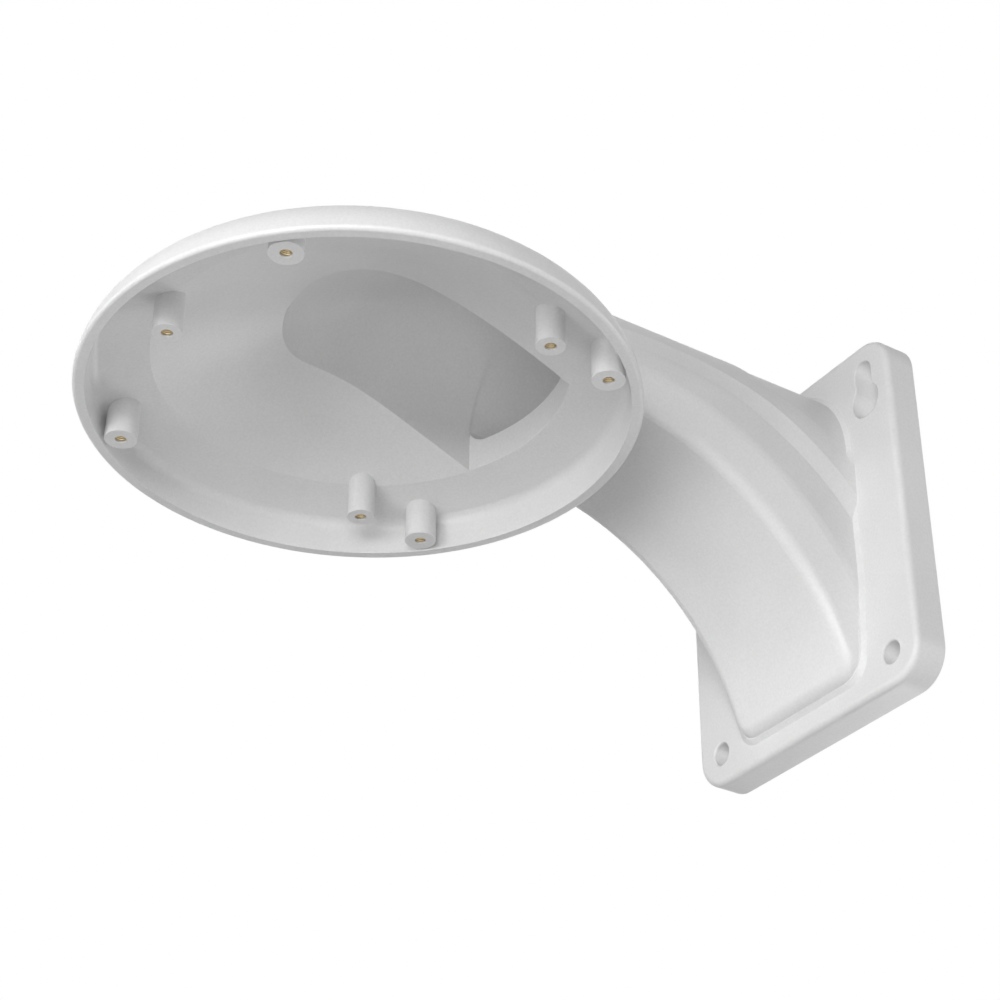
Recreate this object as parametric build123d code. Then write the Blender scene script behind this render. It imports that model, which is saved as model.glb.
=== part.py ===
from build123d import *
import math
import os

# Camera wall bracket: one moulding with a wall plate, a hollow curved arm and a
# shallow downward dish with seven bosses, and a brass insert in each boss.
# The origin is the centre of the wall plate's back face, +Z is up, the wall
# is the plane Y = 0 and the bracket reaches out along -Y. Lengths are in mm.

# Wall plate
plate_width = 77.7
plate_height = 91.6
plate_thickness = 8.2
plate_corner_radius = 8.5
plate_edge_radius = 1.6

# Screw holes and keyholes in the plate, by their distance from its edges
hole_margin_x = 8.55
hole_margin_z = 7.8
screw_clearance_diameter = 5.4
hole_edge_radius = 0.5
keyhole_head_diameter = 8.9
keyhole_travel = 8.2
keyhole_edge_radius = 0.4

# Dish, an open cup with a conical floor, mouth down
dish_gap = 65.9
dish_lip_z = -1.5
dish_radius = 60.9
dish_lip_width = 2.7
dish_lip_edge_radius = 0.8
dish_side_draft = 5.0
dish_shoulder_radius = 13.2
dish_inner_depth = 7.5
dish_inner_draft = 3.5
dish_inner_corner_radius = 2.75
dish_wall = 2.8
floor_ring_width = 12.24
floor_outer_slope = 15.0
floor_cone_slope = 25.4
floor_dome_radius = 16.0

# Bosses inside the dish, by their distance from its edge, and their inserts
camera_boss_inset = 6.9
camera_boss_count = 4
camera_boss_diameter = 7.2
camera_boss_recess = 0.2
adapter_boss_inset = 15.4
adapter_boss_count = 3
adapter_boss_diameter = 6.3
adapter_boss_recess = 2.0
insert_diameter = 4.2
insert_length = 5.0
insert_bore_diameter = 2.6
insert_lip = 0.5
insert_relief = 1.5

# Arm: an arched underside, flat sides and a round top
arm_half_width = 23.3
arm_top_z = 43.4
arm_bottom_z = -39.9
arm_bottom_corner_radius = 6.0
underside_radius = 66.8
underside_centre_y = -75.9
underside_centre_z = -55.3
underside_edge_radius = 3.2
flank_height = 2.7
flank_shift = 5.0
flank_angle = 19.5
flank_edge_radius = 7.0
root_bead = 1.0

# Raised sleeve over the arm's upper side
sleeve_rise = 1.3
sleeve_top_rise = 0.2
sleeve_height = 4.0
sleeve_shift_y = 12.3
sleeve_shift_z = 9.4
sleeve_slope_width = 5.0
sleeve_edge_run = 55.8
sleeve_edge_steps = 9
sleeve_bite = 0.05
sleeve_end_low = (-8.2, 14.1)
sleeve_end_mid = (-18.8, 22.3)
sleeve_end_high = (-31.0, 27.8)
sleeve_end_top_y = -43.0

# Cable way through the arm, open into the dish and at the plate's back
way_half_width = 20.8
way_floor_wall = 5.3
way_roof_wall = 4.4
way_corner_radius = 4.5
way_bottom_z = -34.0
way_step = 0.3
way_overlap = 5.0
sill_inset = 15.6

# Rounded nose that closes the arm and its cable way over the dish
nose_half_width = 20.0
nose_taper_start = 10.0
nose_end = -16.5
nose_corner_radius = 14.0
nose_drop_start = 30.0
nose_drop_radius = 80.0
nose_wall = 3.8

# The tunnel's plain sides run this far below the dish's lip, into its hollow
tunnel_depth = 18.0

# Cuts run this far past the faces that they open, and a face or an edge is
# found by its size or place to within this much
cut = 1.0
match_tolerance = 0.01

# Places that follow from the sizes above
dish_reach = dish_gap + dish_radius
sill_radius = dish_radius - sill_inset
hole_x = plate_width / 2 - hole_margin_x
hole_z = plate_height / 2 - hole_margin_z
flank_radius = underside_radius + flank_height
flank_centre_y = underside_centre_y + flank_shift
flank_centre_z = underside_centre_z + flank_shift
sleeve_edge_radius = underside_radius + sleeve_height
sleeve_centre_y = underside_centre_y + sleeve_shift_y
sleeve_centre_z = underside_centre_z + sleeve_shift_z


def tangent(degrees):
    return math.tan(math.radians(degrees))


def floor_lines(offset):
    """Radius and height of the floor's outer corner, break and dome start."""
    lift_ring = offset / math.cos(math.radians(floor_outer_slope))
    lift_cone = offset / math.cos(math.radians(floor_cone_slope))
    ring = tangent(floor_outer_slope)
    cone = tangent(floor_cone_slope)
    corner = dish_radius - dish_lip_width - dish_inner_depth * tangent(dish_inner_draft)
    break_z = dish_inner_depth + floor_ring_width * ring
    shift = (lift_cone - lift_ring) / (cone - ring)
    edge = (corner - floor_ring_width + shift, break_z + lift_ring - shift * ring)
    start = floor_dome_radius + offset * math.sin(math.radians(floor_cone_slope))
    dome = (start, edge[1] + (edge[0] - start) * cone)
    return (corner, dish_inner_depth + lift_ring), edge, dome


def cup_solid(rim, corner, edge, dome, corner_radius, rim_z):
    """A revolved solid under a side wall, a gentle ring, a cone and a dome."""
    radius = dome[0] / math.sin(math.radians(floor_cone_slope))
    centre_z = dome[1] - radius * math.cos(math.radians(floor_cone_slope))
    half = math.radians(floor_cone_slope / 2)
    middle = (radius * math.sin(half), centre_z + radius * math.cos(half))
    apex = (0, centre_z + radius)
    walls = Polyline(apex, (0, rim_z), (rim, rim_z), corner, edge, dome)
    face = make_face(walls.edges() + ThreePointArc(dome, middle, apex).edges())
    rounded = fillet(face.vertices().sort_by_distance(corner)[0], corner_radius)
    solid = revolve(Plane.XZ * rounded, Axis.Z)
    return Pos(0, -dish_reach, dish_lip_z) * solid


def dish_outside():
    """The dish as a closed lump: drafted side, round shoulder and conical roof."""
    corner, edge, dome = floor_lines(dish_wall)
    ring = tangent(floor_outer_slope)
    draft = tangent(dish_side_draft)
    corner_z = (corner[1] - (dish_radius - corner[0]) * ring) / (1 - ring * draft)
    corner = (dish_radius - corner_z * draft, corner_z)
    lump = cup_solid(dish_radius, corner, edge, dome, dish_shoulder_radius, 0)
    lip = lump.edges().sort_by(Axis.Z)[0]
    return fillet(lip, dish_lip_edge_radius)


def dish_hollow():
    """The space inside the dish, run out past the lip."""
    corner, edge, dome = floor_lines(0)
    depth = tunnel_depth + cut
    rim = dish_radius - dish_lip_width + depth * tangent(dish_inner_draft)
    return cup_solid(rim, corner, edge, dome, dish_inner_corner_radius, -depth)


def boss_places():
    """Centre, radius and end height of each boss, and its node's number."""
    patterns = (
        (camera_boss_inset, camera_boss_count, 45, camera_boss_diameter, camera_boss_recess),
        (adapter_boss_inset, adapter_boss_count, 30, adapter_boss_diameter, adapter_boss_recess))
    places = []
    for inset, count, start, diameter, recess in patterns:
        for index in range(count):
            turn = math.radians(start + 360 / count * index)
            x = (dish_radius - inset) * math.cos(turn)
            y = (dish_radius - inset) * math.sin(turn) - dish_reach
            places.append((x, y, dish_lip_z + recess, diameter / 2))
    return places


def rod(x, y, low, high, radius):
    """An upright cylinder between two heights."""
    return Pos(x, y, low) * Cylinder(
        radius, high - low, align=(Align.CENTER, Align.CENTER, Align.MIN))


def boss_set():
    """All bosses as plain rods that run up past the roof."""
    return [rod(x, y, low, arm_top_z, radius) for x, y, low, radius in boss_places()]


def insert(x, y, low):
    """A brass bush with a tapped bore, just behind the boss's end face."""
    base = low + insert_lip
    bush = rod(x, y, base, base + insert_length, insert_diameter / 2)
    return bush - rod(x, y, base - cut, base + insert_length + cut, insert_bore_diameter / 2)


def insert_seat(x, y, low):
    """The space that an insert fills, with a hole below it and more room above it."""
    base = low + insert_lip
    top = base + insert_length + insert_relief
    mouth = rod(x, y, low - cut, base + cut, insert_bore_diameter / 2)
    return mouth + rod(x, y, base, top, insert_diameter / 2)


def mirrored(solid):
    """A solid for the +X side with its copy on the -X side."""
    return [solid, mirror(solid, Plane.YZ)]


def arc_points(centre, radius, start, end):
    """Start, middle and end of an arc, by angles from +Y towards +Z."""
    turns = (start, (start + end) / 2, end)
    return [(centre[0] + radius * math.cos(math.radians(turn)),
             centre[1] + radius * math.sin(math.radians(turn))) for turn in turns]


def way_angle(radius, height):
    """Angle at which an arc about the underside's centre reaches a height."""
    return math.degrees(math.asin((height - underside_centre_z) / radius))


def arm_side_solid(half_width, floor_wall, bottom_z, top_z, front_y, end_y):
    """The arm's side outline, arched below and flat above, as a plain slab."""
    centre = (underside_centre_y, underside_centre_z)
    radius = underside_radius + floor_wall
    arc = arc_points(centre, radius, 90, way_angle(radius, bottom_z))
    walls = Polyline(
        arc[2], (end_y, bottom_z), (end_y, top_z), (front_y, top_z), (front_y, arc[0][1]), arc[0])
    face = make_face(ThreePointArc(*arc).edges() + walls.edges())
    return extrude(Plane.YZ * face, half_width, both=True)


def arch_solid(half_width, top_z, bottom_z, corner_radius, front_y, end_y):
    """A bar along Y with a half-round top and rounded lower corners."""
    spring_z = top_z - half_width
    box = Polyline(
        (half_width, spring_z), (half_width, bottom_z), (-half_width, bottom_z),
        (-half_width, spring_z))
    arch = ThreePointArc((-half_width, spring_z), (0, top_z), (half_width, spring_z))
    face = make_face(box.edges() + arch.edges())
    low = face.vertices().group_by(Axis.Y)[0]
    face = fillet(low, corner_radius)
    return extrude(Plane((0, end_y, 0), x_dir=(1, 0, 0), z_dir=(0, -1, 0)) * face, end_y - front_y)


def flank_cutter():
    """A ring that leaves a slanted flank between the underside and the flat side."""
    slope = tangent(flank_angle)
    inner = flank_radius - 2 * arm_half_width
    outer = flank_radius + arm_half_width / 2
    low_x = arm_half_width - (flank_radius - inner) * slope
    high_x = arm_half_width + (outer - flank_radius) * slope
    face = make_face(Polyline((inner, low_x), (outer, high_x), (inner, high_x), close=True))
    axis_plane = Plane((0, flank_centre_y, flank_centre_z), x_dir=(0, 1, 0), z_dir=(0, 0, -1))
    ring = revolve(axis_plane * face, Axis((0, flank_centre_y, flank_centre_z), (1, 0, 0)))
    return ring


def arm_core():
    """The arm without its sleeve: arch, flat sides, slanted flanks and underside."""
    front_y = -dish_reach + nose_drop_start
    end_y = -plate_thickness / 2
    # The edges are rounded on a bar that runs on past the wall, then it is cut short
    core = arm_side_solid(
        arm_half_width, 0, arm_bottom_z, arm_top_z + cut, front_y, plate_thickness)
    for ring in mirrored(flank_cutter()):
        core -= ring
    creases = core.edges().filter_by(GeomType.CIRCLE).filter_by(
        lambda edge: abs(edge.radius - flank_radius) < match_tolerance)
    core = fillet(creases, flank_edge_radius)
    corners = core.edges().group_by(Axis.Z)[0].filter_by(
        lambda edge: abs(edge.center().X) > arm_half_width / 2)
    core = fillet(corners, arm_bottom_corner_radius)
    core &= arch_solid(
        arm_half_width, arm_top_z, arm_bottom_z - 2 * arm_bottom_corner_radius,
        arm_bottom_corner_radius, front_y - cut, end_y)
    underside = core.faces().filter_by(GeomType.CYLINDER).filter_by(
        lambda face: abs(face.radius - underside_radius) < match_tolerance)[0]
    rims = underside.edges().filter_by(lambda edge: edge.center().Y > front_y + cut)
    crest_z = underside.edges().sort_by(Axis.Z)[-1].center().Z
    rims = rims.filter_by(lambda edge: abs(edge.center().Z - crest_z) > match_tolerance)
    return fillet(rims, underside_edge_radius)


def tunnel_width(y, half_width, wall):
    """Half-width of the tunnel in plan at a distance from the dish's axis."""
    end = nose_end - wall
    corner = nose_corner_radius + wall
    nose_half = nose_half_width + wall
    if y < end + corner:
        return nose_half - corner + math.sqrt(corner ** 2 - (end + corner - y) ** 2)
    share = (y - nose_taper_start) / (nose_drop_start - nose_taper_start)
    return nose_half + (half_width - nose_half) * min(1, max(0, share))


def tunnel_section(y, half, crown, spring_z):
    """One smooth arch across the tunnel, closed below the dish's lip."""
    low_z = dish_lip_z - tunnel_depth
    sides = (low_z, low_z + (spring_z - low_z) / 5, spring_z - half / 4, spring_z)
    right = [(half, z) for z in sides]
    for turn in (10, 22.5, 45, 67.5):
        right.append((half * math.cos(math.radians(turn)),
                      spring_z + crown * math.sin(math.radians(turn))))
    left = [(-x, z) for x, z in reversed(right)]
    outline = Spline(right + [(0, spring_z + crown)] + left, tangents=[(0, 1), (0, -1)])
    face = make_face(outline.edges() + Line(left[-1], right[0]).edges())
    return Plane((0, y - dish_reach, 0), x_dir=(1, 0, 0), z_dir=(0, -1, 0)) * face


def tunnel_end(half_width, wall, top_z, back_y):
    """The tunnel's rounded end, which narrows and curves down over the dish."""
    end = nose_end - wall
    corner = nose_corner_radius + wall
    spring_z = top_z - half_width
    places = [end + corner * step for step in (0.02, 0.08, 0.2, 0.4, 0.7, 1.0)]
    places += [nose_taper_start, (nose_taper_start + nose_drop_start) / 2, nose_drop_start]
    places += [nose_drop_start + (back_y - nose_drop_start) * step for step in (0.5, 1)]
    sections = []
    for place in places:
        run = max(0, nose_drop_start - place)
        drop = nose_drop_radius - math.sqrt(nose_drop_radius ** 2 - run ** 2)
        half = tunnel_width(place, half_width, wall)
        sections.append(tunnel_section(place, half, top_z - drop - spring_z, spring_z))
    return loft(sections)


def edge_height(y, radius):
    """Height of an arc about the sleeve edge's centre at a place along the arm."""
    return sleeve_centre_z + math.sqrt(radius ** 2 - (y - sleeve_centre_y) ** 2)


def side_x(z, half, top_z):
    """Half-width of an arched bar at a height."""
    rise = max(0, z - top_z + half)
    return math.sqrt(half ** 2 - rise ** 2)


def slope_cutter():
    """The space outside the sleeve's sloping edge on the +X side."""
    half = arm_half_width + sleeve_rise
    start = -dish_reach + nose_drop_start - 2 * cut
    end = sleeve_centre_y + sleeve_edge_run + cut
    sections = []
    for index in range(sleeve_edge_steps + 1):
        y = start + (end - start) * index / sleeve_edge_steps
        low_z = edge_height(y, sleeve_edge_radius)
        high_z = edge_height(y, sleeve_edge_radius + sleeve_slope_width)
        foot = (side_x(low_z, arm_half_width, arm_top_z) - sleeve_bite, low_z)
        head = (side_x(high_z, half, arm_top_z + sleeve_top_rise), high_z)
        past = (head[0] + (head[0] - foot[0]) / 2, head[1] + (head[1] - foot[1]) / 2)
        before = (foot[0] - (head[0] - foot[0]) / 4, foot[1] - (head[1] - foot[1]) / 4)
        outline = Polyline(before, past, (half + 3 * cut, before[1]), close=True)
        plane = Plane((0, y, 0), x_dir=(1, 0, 0), z_dir=(0, -1, 0))
        sections.append(plane * make_face(outline.edges()))
    return loft(sections)


def sleeve():
    """The nose and a thin raised layer over the arm, with a sloping lower edge."""
    half = arm_half_width + sleeve_rise
    top_z = arm_top_z + sleeve_top_rise
    far_z = top_z + cut
    far_y = nose_end - dish_reach - 2 * nose_wall
    low_z = dish_lip_z - tunnel_depth + cut
    end_y = sleeve_centre_y + sleeve_edge_run
    lower = (end_y, edge_height(end_y, sleeve_edge_radius))
    crest = (sleeve_centre_y, sleeve_centre_z + sleeve_edge_radius)
    start_z = sleeve_centre_z + cut
    start_y = sleeve_centre_y - math.sqrt(
        sleeve_edge_radius ** 2 - (start_z - sleeve_centre_z) ** 2)
    bar = tunnel_end(half, nose_wall, top_z, nose_drop_start + cut)
    section = tunnel_section(nose_drop_start + cut, half, half, top_z - half)
    bar += extrude(section, cut - dish_reach)
    low, middle, high = sleeve_end_low, sleeve_end_mid, sleeve_end_high
    front = (-dish_reach + nose_drop_start, edge_height(
        -dish_reach + nose_drop_start, sleeve_edge_radius))
    face = make_face(
        ThreePointArc(front, crest, lower).edges()
        + Polyline(lower, low).edges()
        + ThreePointArc(low, middle, high).edges()
        + Polyline(high, (sleeve_end_top_y, far_z), (far_y, far_z), (far_y, low_z),
                   (front[0], low_z), front).edges())
    layer = bar & extrude(Plane.YZ * face, half + cut, both=True)
    for cutter in mirrored(slope_cutter()):
        layer -= cutter
    return layer


def across(x, z, radius, front_y, back_y):
    """A cylinder along Y between two distances from the wall."""
    length = back_y - front_y
    return Pos(x, (front_y + back_y) / 2, z) * Rot(90, 0, 0) * Cylinder(radius, length)


def keyhole(x, z):
    """A slot for a hung screw, with a wider head hole below it."""
    head_z = z - keyhole_travel
    radius = screw_clearance_diameter / 2
    slot = across(x, z, radius, -plate_thickness - cut, cut)
    slot += across(x, head_z, keyhole_head_diameter / 2, -plate_thickness - cut, cut)
    return slot + Pos(x, -plate_thickness / 2, z - keyhole_travel / 2) * Box(
        screw_clearance_diameter, plate_thickness + 2 * cut, keyhole_travel)


def softened(plate, x, z, radius):
    """The plate with the front edges of one opening rounded."""
    front = plate.edges().filter_by(
        lambda edge: abs(edge.bounding_box().max.Y + plate_thickness) < match_tolerance)
    near = front.filter_by(
        lambda edge: abs(edge.center().X - x) < keyhole_head_diameter
        and abs(edge.center().Z - z) < 1.5 * keyhole_travel and edge.length < plate_width / 2)
    return fillet(near, radius)


def root_outline(spread):
    """The arm's outline where it meets the plate, spread outwards all round."""
    run = -plate_thickness - flank_centre_y
    high_z = flank_centre_z + math.sqrt(flank_radius ** 2 - run ** 2)
    reach = math.hypot(run, arm_bottom_z - flank_centre_z)
    low_x = arm_half_width - (flank_radius - reach) * tangent(flank_angle) + spread
    half = arm_half_width + spread
    spring_z = arm_top_z - arm_half_width
    low = (low_x, arm_bottom_z - spread)
    sides = Polyline((half, spring_z), (half, high_z), low, (-low[0], low[1]), (-half, high_z),
                     (-half, spring_z))
    arch = ThreePointArc((-half, spring_z), (0, arm_top_z + spread), (half, spring_z))
    face = make_face(sides.edges() + arch.edges())
    return fillet(face.vertices().group_by(Axis.Y)[0], arm_bottom_corner_radius)


def root_beading():
    """A small slanted bead all round the arm's root on the plate."""
    wide = Plane((0, -plate_thickness, 0), x_dir=(1, 0, 0), z_dir=(0, -1, 0))
    tight = wide.offset(root_bead)
    return loft([wide * root_outline(root_bead), tight * root_outline(0)])


def wall_plate():
    """The plate with round corners, a soft front edge, two holes and two keyholes."""
    plate = Box(
        plate_width, plate_thickness, plate_height, align=(Align.CENTER, Align.MAX, Align.CENTER))
    plate = fillet(plate.edges().filter_by(Axis.Y), plate_corner_radius)
    plate = fillet(plate.edges().group_by(Axis.Y)[0], plate_edge_radius)
    for x in (-hole_x, hole_x):
        plate -= across(x, -hole_z, screw_clearance_diameter / 2, -plate_thickness - cut, cut)
        plate = softened(plate, x, -hole_z, hole_edge_radius)
        plate -= keyhole(x, hole_z)
        plate = softened(plate, x, hole_z - keyhole_travel / 2, keyhole_edge_radius)
    return plate


def way():
    """The cable channel through the arm and the mouth that opens it into the dish."""
    top_z = arm_top_z - way_roof_wall
    front_y = sill_radius - way_overlap - dish_reach
    slab = arm_side_solid(
        way_half_width, way_floor_wall, way_bottom_z - cut, top_z + cut, front_y, 2 * cut)
    floors = slab.faces().filter_by(
        lambda face: abs(face.center().X) < cut and face.normal_at().Z < 0
        and face.center().Z > way_bottom_z)
    rims = floors.edges().filter_by(lambda edge: abs(edge.center().X) > way_half_width / 2)
    channel = fillet(rims, way_corner_radius) & arch_solid(
        way_half_width, top_z, way_bottom_z, way_corner_radius, front_y - cut, cut)
    mouth = tunnel_end(way_half_width - way_step, 0, top_z - way_step, sill_radius + cut)
    mouth &= rod(0, -dish_reach, dish_lip_z - tunnel_depth + cut, top_z + cut, sill_radius)
    return [channel, mouth]


def bracket_body():
    """The whole moulding."""
    body = dish_outside()
    body += arm_core()
    body += sleeve()
    body += wall_plate()
    body += root_beading()
    hollow = dish_hollow()
    for boss in boss_set():
        hollow -= boss
    body -= hollow
    for space in way():
        body -= space
    for place in boss_places():
        body -= insert_seat(*place[:3])
    return body


def main():
    """Write every node to its own file."""
    os.makedirs("parts", exist_ok=True)
    export_step(bracket_body(), "parts/bracket_body.step")
    for number, place in enumerate(boss_places(), 1):
        export_step(insert(*place[:3]), f"parts/thread_insert_{number}.step")


main()
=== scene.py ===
import math

import bmesh
import bpy
from mathutils import Matrix, Vector


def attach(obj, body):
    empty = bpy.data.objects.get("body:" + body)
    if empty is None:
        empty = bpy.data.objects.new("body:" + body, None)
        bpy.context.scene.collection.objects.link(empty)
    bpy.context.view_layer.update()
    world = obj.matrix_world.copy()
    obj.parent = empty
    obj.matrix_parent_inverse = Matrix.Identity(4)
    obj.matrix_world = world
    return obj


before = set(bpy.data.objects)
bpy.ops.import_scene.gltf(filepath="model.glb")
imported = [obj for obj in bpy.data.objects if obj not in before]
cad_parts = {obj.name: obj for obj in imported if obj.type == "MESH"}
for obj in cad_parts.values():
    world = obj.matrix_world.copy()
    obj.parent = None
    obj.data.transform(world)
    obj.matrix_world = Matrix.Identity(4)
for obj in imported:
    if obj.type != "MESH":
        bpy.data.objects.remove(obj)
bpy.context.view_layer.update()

MM = 0.001
WHITE = (1, 1, 1, 1)

# Camera, at the photograph's place below the bracket and in front of it
AZIMUTH = math.radians(57.38)
ELEVATION = math.radians(-32.75)
ROLL = math.radians(-0.40)
CAMERA_PLACE = Vector((339.1, -308.0, -270.3)) * MM
LENS = 78.76
SENSOR = 36.0
CLIP_NEAR, CLIP_FAR = 0.01, 20.0

# Bosses in the dish, in mm. Each row is a circle's diameter, its number of bosses, the
# first one's angle in degrees and how far above the lip their ends lie
DISH_REACH = 126.8
DISH_LIP_Z = -1.5
BOSS_ROWS = ((108.0, 4, 45, 0.2), (91.0, 3, 30, 2.0))

# Inserts, which lie a little way inside the bosses, in mm
INSERT_LIP = 0.5
INSERT_LENGTH = 5.0
BORE_RADIUS = 1.3

# Thread in the inserts' bores, in mm. Its half widths are shares of the pitch
THREAD_PITCH = 0.5
THREAD_DEPTH = 0.15
THREAD_SINK = 0.02
THREAD_ROOT = 0.42
THREAD_CREST = 0.08
TURN_STEPS = 28
FADE_STEPS = 10

# Floor, in metres, and the light that it shows of its own to the eye
FLOOR_Z = -0.42
FLOOR_HALF = 4.0
FLOOR_GLOW = 0.55

# Soft lamps round the bracket: azimuth from -Y towards +X, elevation, power. The last
# one lights the back and the top, which the photograph doesn't show
LAMPS = ((45, 0, 2.14), (20, -18, 1.2), (160, -15, 1.18), (210, -25, 0.77), (-35, 0, 0.7),
         (57, -12, 0.5), (20, 0, 0.43), (130, 0, 0.37), (45, -18, 0.27), (-5, 0, 0.23),
         (150, 30, 0.09), (237, 33, 0.8))
LAMP_TARGET = Vector((0, -0.08, 0))
LAMP_DISTANCE = 0.7
LAMP_SIZE = 0.25

# The part of a noise's range that colours and roughness run over
NOISE_LOW, NOISE_HIGH = 0.3, 0.7


def link(tree, source, target):
    tree.links.new(source, target)


def new_material(name):
    """A new node material, with its tree and its shader."""
    mat = bpy.data.materials.new(name)
    mat.use_nodes = True
    tree = mat.node_tree
    shader = next(n for n in tree.nodes if n.type == "BSDF_PRINCIPLED")
    return mat, tree, shader


def add(tree, kind, **values):
    """A node with its plain settings and input values."""
    node = tree.nodes.new(kind)
    for key, value in values.items():
        if hasattr(node, key):
            setattr(node, key, value)
        else:
            node.inputs[key.replace("_", " ")].default_value = value
    return node


def grey(value):
    return (value, value, value, 1.0)


def object_coords(tree):
    return add(tree, "ShaderNodeTexCoord").outputs["Object"]


def noise(tree, coords, scale, detail, roughness):
    node = add(tree, "ShaderNodeTexNoise", Scale=scale, Detail=detail, Roughness=roughness)
    link(tree, coords, node.inputs["Vector"])
    return node.outputs["Fac"]


def ramp(tree, source, low, high):
    """A colour between low and high, driven by a noise."""
    node = tree.nodes.new("ShaderNodeValToRGB")
    first, last = node.color_ramp.elements
    first.position, last.position = NOISE_LOW, NOISE_HIGH
    first.color, last.color = low, high
    link(tree, source, node.inputs[0])
    return node.outputs[0]


def uneven_roughness(tree, shader, source, low, high):
    """Roughness between low and high, driven by a noise."""
    node = add(tree, "ShaderNodeMapRange", From_Min=NOISE_LOW, From_Max=NOISE_HIGH,
               To_Min=low, To_Max=high)
    link(tree, source, node.inputs["Value"])
    link(tree, node.outputs["Result"], shader.inputs["Roughness"])


def bump(tree, shader, source, strength, distance):
    node = add(tree, "ShaderNodeBump", Strength=strength, Distance=distance)
    link(tree, source, node.inputs["Height"])
    link(tree, node.outputs["Normal"], shader.inputs["Normal"])


def seen_by_eye(tree):
    """1 for camera, glossy and transmission rays, 0 for the rays that light the object."""
    path = tree.nodes.new("ShaderNodeLightPath")
    value = path.outputs["Is Camera Ray"]
    for name in ("Is Glossy Ray", "Is Transmission Ray"):
        either = add(tree, "ShaderNodeMath", operation="MAXIMUM")
        link(tree, value, either.inputs[0])
        link(tree, path.outputs[name], either.inputs[1])
        value = either.outputs[0]
    return value


def plastic():
    """Satin white moulding: faint mottle, fine grain and a slightly uneven shine."""
    mat, tree, shader = new_material("satin_white_plastic")
    coords = object_coords(tree)
    cloud = noise(tree, coords, 38.0, 3.0, 0.5)
    grain = noise(tree, coords, 1600.0, 3.0, 0.6)
    peel = noise(tree, coords, 700.0, 2.0, 0.5)
    mix = add(tree, "ShaderNodeMix", data_type="RGBA", blend_type="MULTIPLY")
    mix.inputs["Factor"].default_value = 1.0
    link(tree, ramp(tree, cloud, grey(0.76), grey(0.805)), mix.inputs["A"])
    link(tree, ramp(tree, grain, grey(0.93), grey(1.0)), mix.inputs["B"])
    link(tree, mix.outputs["Result"], shader.inputs["Base Color"])
    uneven_roughness(tree, shader, peel, 0.32, 0.42)
    bump(tree, shader, grain, 0.10, 0.00012)
    shader.inputs["IOR"].default_value = 1.42
    shader.inputs["Coat Weight"].default_value = 0.1
    shader.inputs["Coat Roughness"].default_value = 0.28
    return mat


def brass():
    """Machined brass: fine turning marks, small stains and uneven shine."""
    mat, tree, shader = new_material("machined_brass")
    coords = object_coords(tree)
    stain = noise(tree, coords, 900.0, 4.0, 0.6)
    marks = noise(tree, coords, 5200.0, 2.0, 0.5)
    link(tree, ramp(tree, stain, (0.60, 0.48, 0.28, 1), (0.82, 0.70, 0.46, 1)),
         shader.inputs["Base Color"])
    uneven_roughness(tree, shader, stain, 0.28, 0.46)
    bump(tree, shader, marks, 0.2, 0.00003)
    shader.inputs["Metallic"].default_value = 1.0
    return mat


def white_floor():
    """A pale matte floor: it shows shadows, and reads as pale far from the lamps too."""
    mat, tree, shader = new_material("pale_floor")
    cloud = noise(tree, object_coords(tree), 3.0, 2.0, 0.5)
    link(tree, ramp(tree, cloud, grey(0.78), grey(0.80)), shader.inputs["Base Color"])
    shader.inputs["Roughness"].default_value = 0.9
    shader.inputs["Emission Color"].default_value = WHITE
    level = add(tree, "ShaderNodeMath", operation="MULTIPLY")
    link(tree, seen_by_eye(tree), level.inputs[0])
    level.inputs[1].default_value = FLOOR_GLOW
    link(tree, level.outputs[0], shader.inputs["Emission Strength"])
    return mat


def white_world():
    """A world that lights nothing and shows plain white to the eye."""
    world = bpy.data.worlds.new("studio")
    bpy.context.scene.world = world
    world.use_nodes = True
    tree = world.node_tree
    tree.nodes.clear()
    output = tree.nodes.new("ShaderNodeOutputWorld")
    shown = tree.nodes.new("ShaderNodeBackground")
    shown.inputs["Color"].default_value = WHITE
    link(tree, seen_by_eye(tree), shown.inputs["Strength"])
    link(tree, shown.outputs[0], output.inputs["Surface"])


def boss_places():
    """The middle of each insert's lower end, in mm."""
    places = []
    for circle, count, start, recess in BOSS_ROWS:
        for index in range(count):
            turn = math.radians(start + 360 / count * index)
            places.append((circle / 2 * math.cos(turn), circle / 2 * math.sin(turn) - DISH_REACH,
                           DISH_LIP_Z + recess + INSERT_LIP))
    return places


def set_material(obj, mat):
    obj.data.materials.clear()
    obj.data.materials.append(mat)


def add_object(name, data):
    obj = bpy.data.objects.new(name, data)
    bpy.context.scene.collection.objects.link(obj)
    return obj


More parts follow.
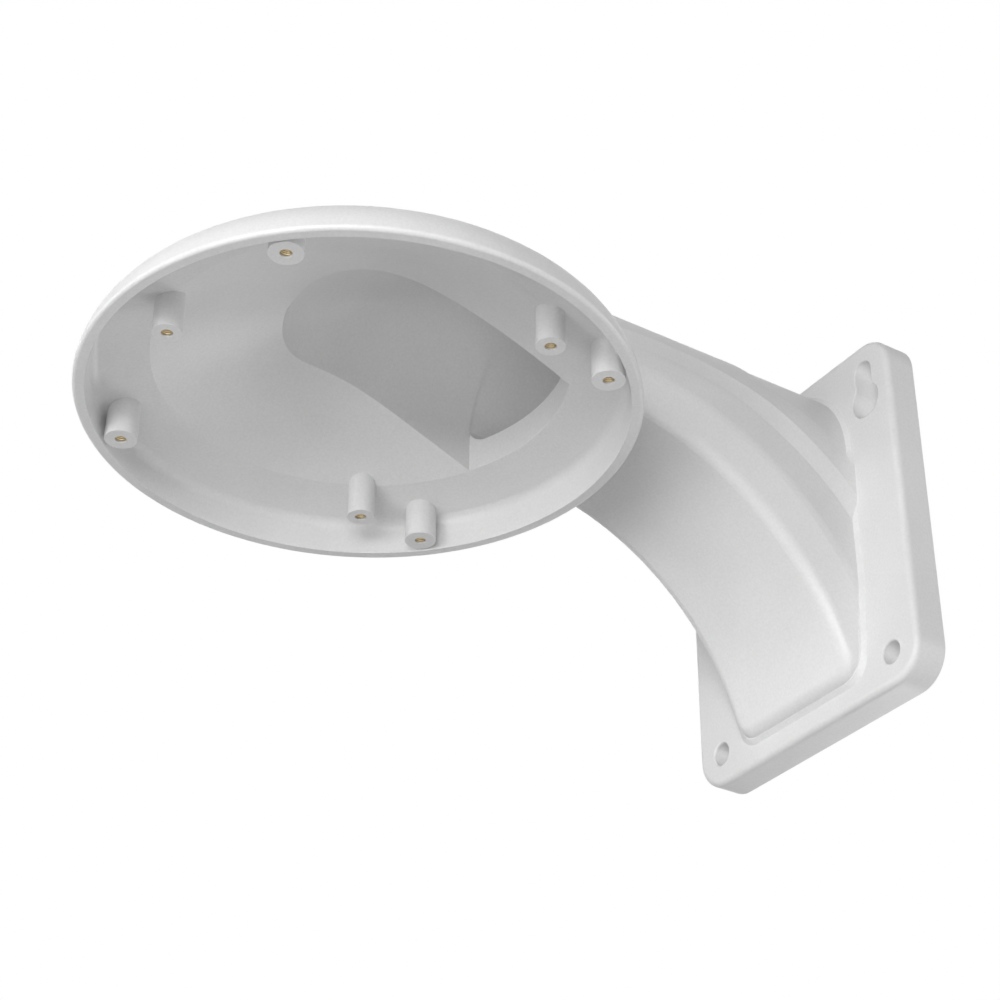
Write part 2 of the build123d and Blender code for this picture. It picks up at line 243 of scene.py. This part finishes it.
def thread(name, place, mat):
    """A helical ridge on the bore of one insert."""
    steps = int((INSERT_LENGTH - THREAD_PITCH) / THREAD_PITCH * TURN_STEPS)
    profile = ((0.0, -THREAD_ROOT), (-THREAD_DEPTH, -THREAD_CREST),
               (-THREAD_DEPTH, THREAD_CREST), (0.0, THREAD_ROOT))
    outer = BORE_RADIUS + THREAD_SINK
    mesh = bpy.data.meshes.new(name)
    bm = bmesh.new()
    rows = []
    for step in range(steps + 1):
        turn = 2 * math.pi * step / TURN_STEPS
        base = THREAD_PITCH / 2 + THREAD_PITCH * step / TURN_STEPS
        fade = min(1.0, step / FADE_STEPS, (steps - step) / FADE_STEPS)
        row = []
        for run, rise in profile:
            radius = outer + run * fade
            row.append(bm.verts.new((
                (place[0] + radius * math.cos(turn)) * MM,
                (place[1] + radius * math.sin(turn)) * MM,
                (place[2] + base + rise * THREAD_PITCH) * MM)))
        rows.append(row)
    for low, high in zip(rows, rows[1:]):
        for index in range(3):
            bm.faces.new((low[index], low[index + 1], high[index + 1], high[index]))
        bm.faces.new((low[3], low[0], high[0], high[3]))
    bm.faces.new(rows[0])
    bm.faces.new(list(reversed(rows[-1])))
    bmesh.ops.recalc_face_normals(bm, faces=bm.faces)
    bm.to_mesh(mesh)
    bm.free()
    obj = add_object(name, mesh)
    set_material(obj, mat)
    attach(obj, "root")


def lay_floor():
    mesh = bpy.data.meshes.new("floor")
    corners = ((-1, -1), (1, -1), (1, 1), (-1, 1))
    mesh.from_pydata([(x * FLOOR_HALF, y * FLOOR_HALF, FLOOR_Z) for x, y in corners], [],
                     [(0, 1, 2, 3)])
    floor = add_object("floor", mesh)
    set_material(floor, white_floor())


def lamp(name, azimuth, elevation, power):
    """A square soft lamp that faces the middle of the bracket."""
    data = bpy.data.lights.new(name, "AREA")
    data.energy = power
    data.size = LAMP_SIZE
    a, e = math.radians(azimuth), math.radians(elevation)
    away = Vector((math.sin(a) * math.cos(e), -math.cos(a) * math.cos(e), math.sin(e)))
    obj = add_object(name, data)
    obj.location = LAMP_TARGET + away * LAMP_DISTANCE
    obj.rotation_euler = away.to_track_quat("Z", "Y").to_euler()


def place_camera():
    data = bpy.data.cameras.new("camera")
    data.lens = LENS
    data.sensor_width = SENSOR
    data.clip_start = CLIP_NEAR
    data.clip_end = CLIP_FAR
    obj = add_object("camera", data)
    out = Vector((math.cos(ELEVATION) * math.sin(AZIMUTH),
                  -math.cos(ELEVATION) * math.cos(AZIMUTH), math.sin(ELEVATION)))
    right = Vector((math.cos(AZIMUTH), math.sin(AZIMUTH), 0))
    up = out.cross(right)
    turned_right = right * math.cos(ROLL) - up * math.sin(ROLL)
    turned_up = up * math.cos(ROLL) + right * math.sin(ROLL)
    basis = Matrix((turned_right, turned_up, out)).transposed().to_4x4()
    obj.matrix_world = Matrix.Translation(CAMERA_PLACE) @ basis
    bpy.context.scene.camera = obj


white = plastic()
metal = brass()
for name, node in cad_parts.items():
    set_material(node, metal if name.startswith("thread_insert") else white)

for number, place in enumerate(boss_places(), 1):
    thread(f"thread_{number}", place, metal)

lay_floor()
place_camera()
white_world()
for number, (azimuth, elevation, power) in enumerate(LAMPS, 1):
    lamp(f"lamp_{number}", azimuth, elevation, power)

bpy.context.scene.view_settings.view_transform = "Standard"
